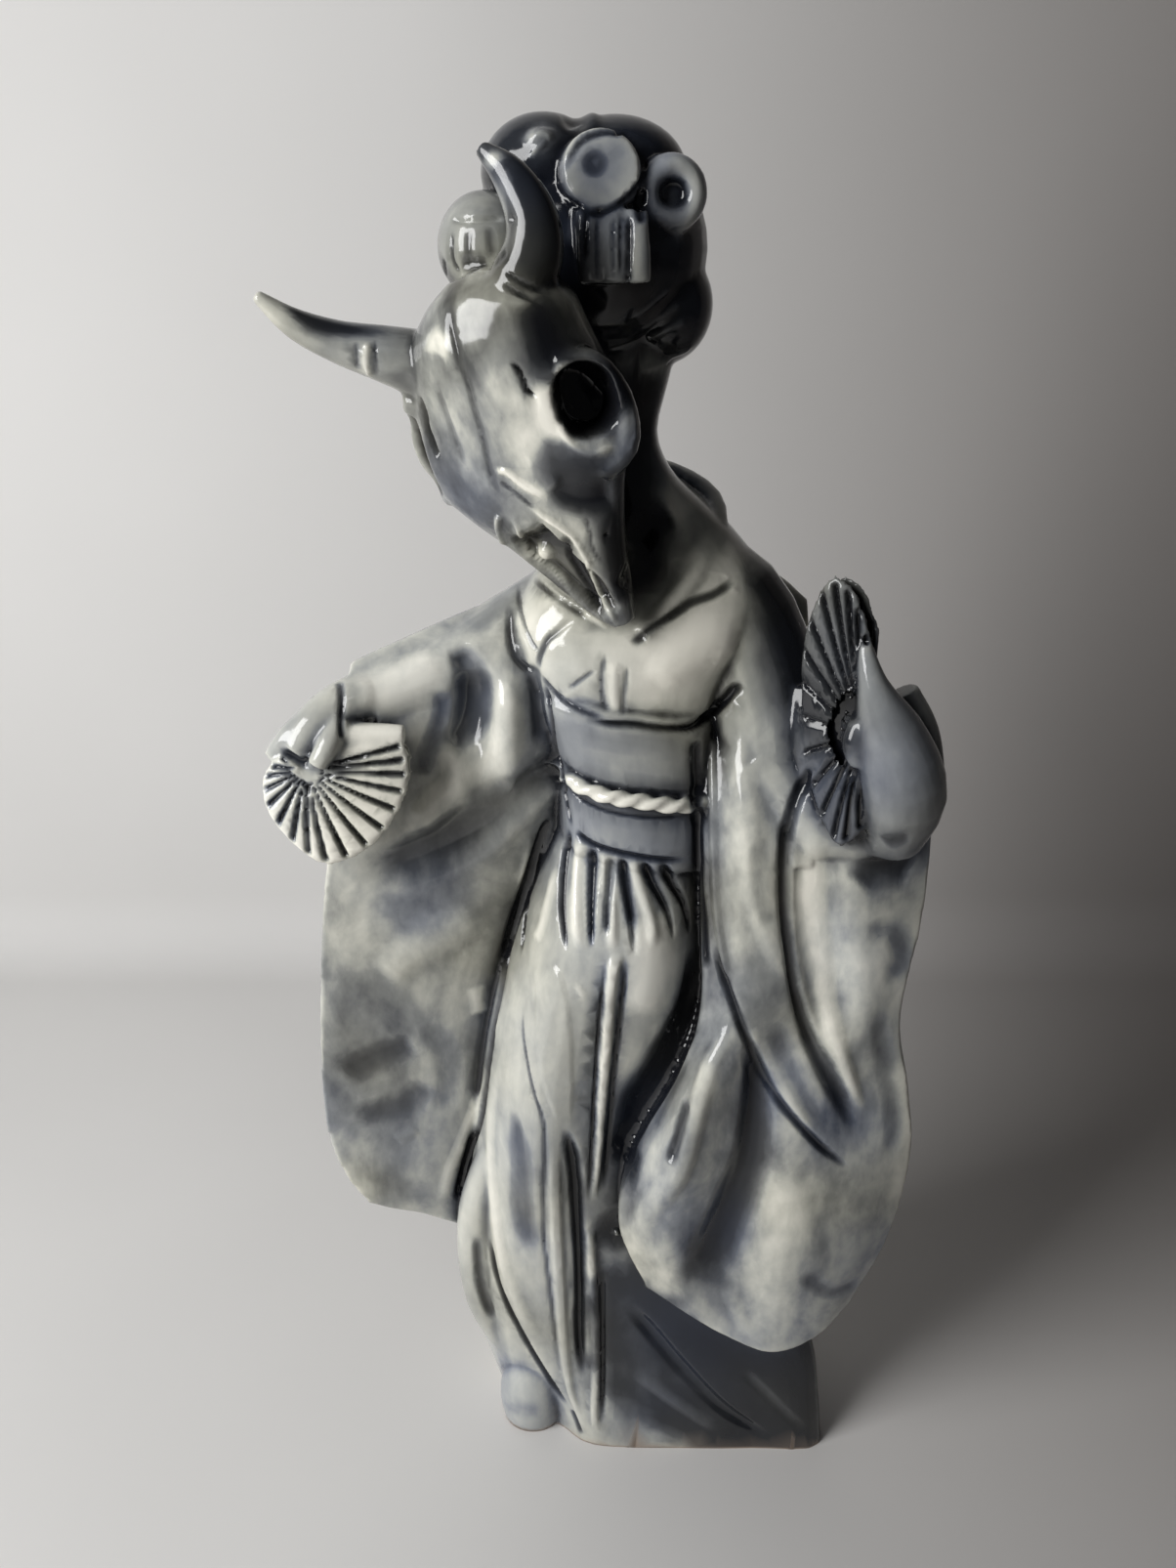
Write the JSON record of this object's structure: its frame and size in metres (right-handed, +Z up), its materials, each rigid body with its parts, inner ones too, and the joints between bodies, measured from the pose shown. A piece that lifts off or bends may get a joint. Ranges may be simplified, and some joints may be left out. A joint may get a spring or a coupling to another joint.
{
  "type": "skull head geisha figurine",
  "caption": "Glazed ceramic figurine of a robed dancer with wide hanging sleeves, two open fans and a horned animal skull in front of the face.",
  "frame": {"origin": "centre of the flat underside, where the figurine stands", "axes": "+Z up, -Y the front that the skull faces, +X to the viewer's right"},
  "size_m": [0.1464, 0.0701, 0.3224],
  "materials": {
    "glaze": "glossy mottled cream and blue-grey glaze, near black in the recesses"
  },
  "bodies": {
    "root": {"figurine": "glaze"}
  },
  "joints": []
}
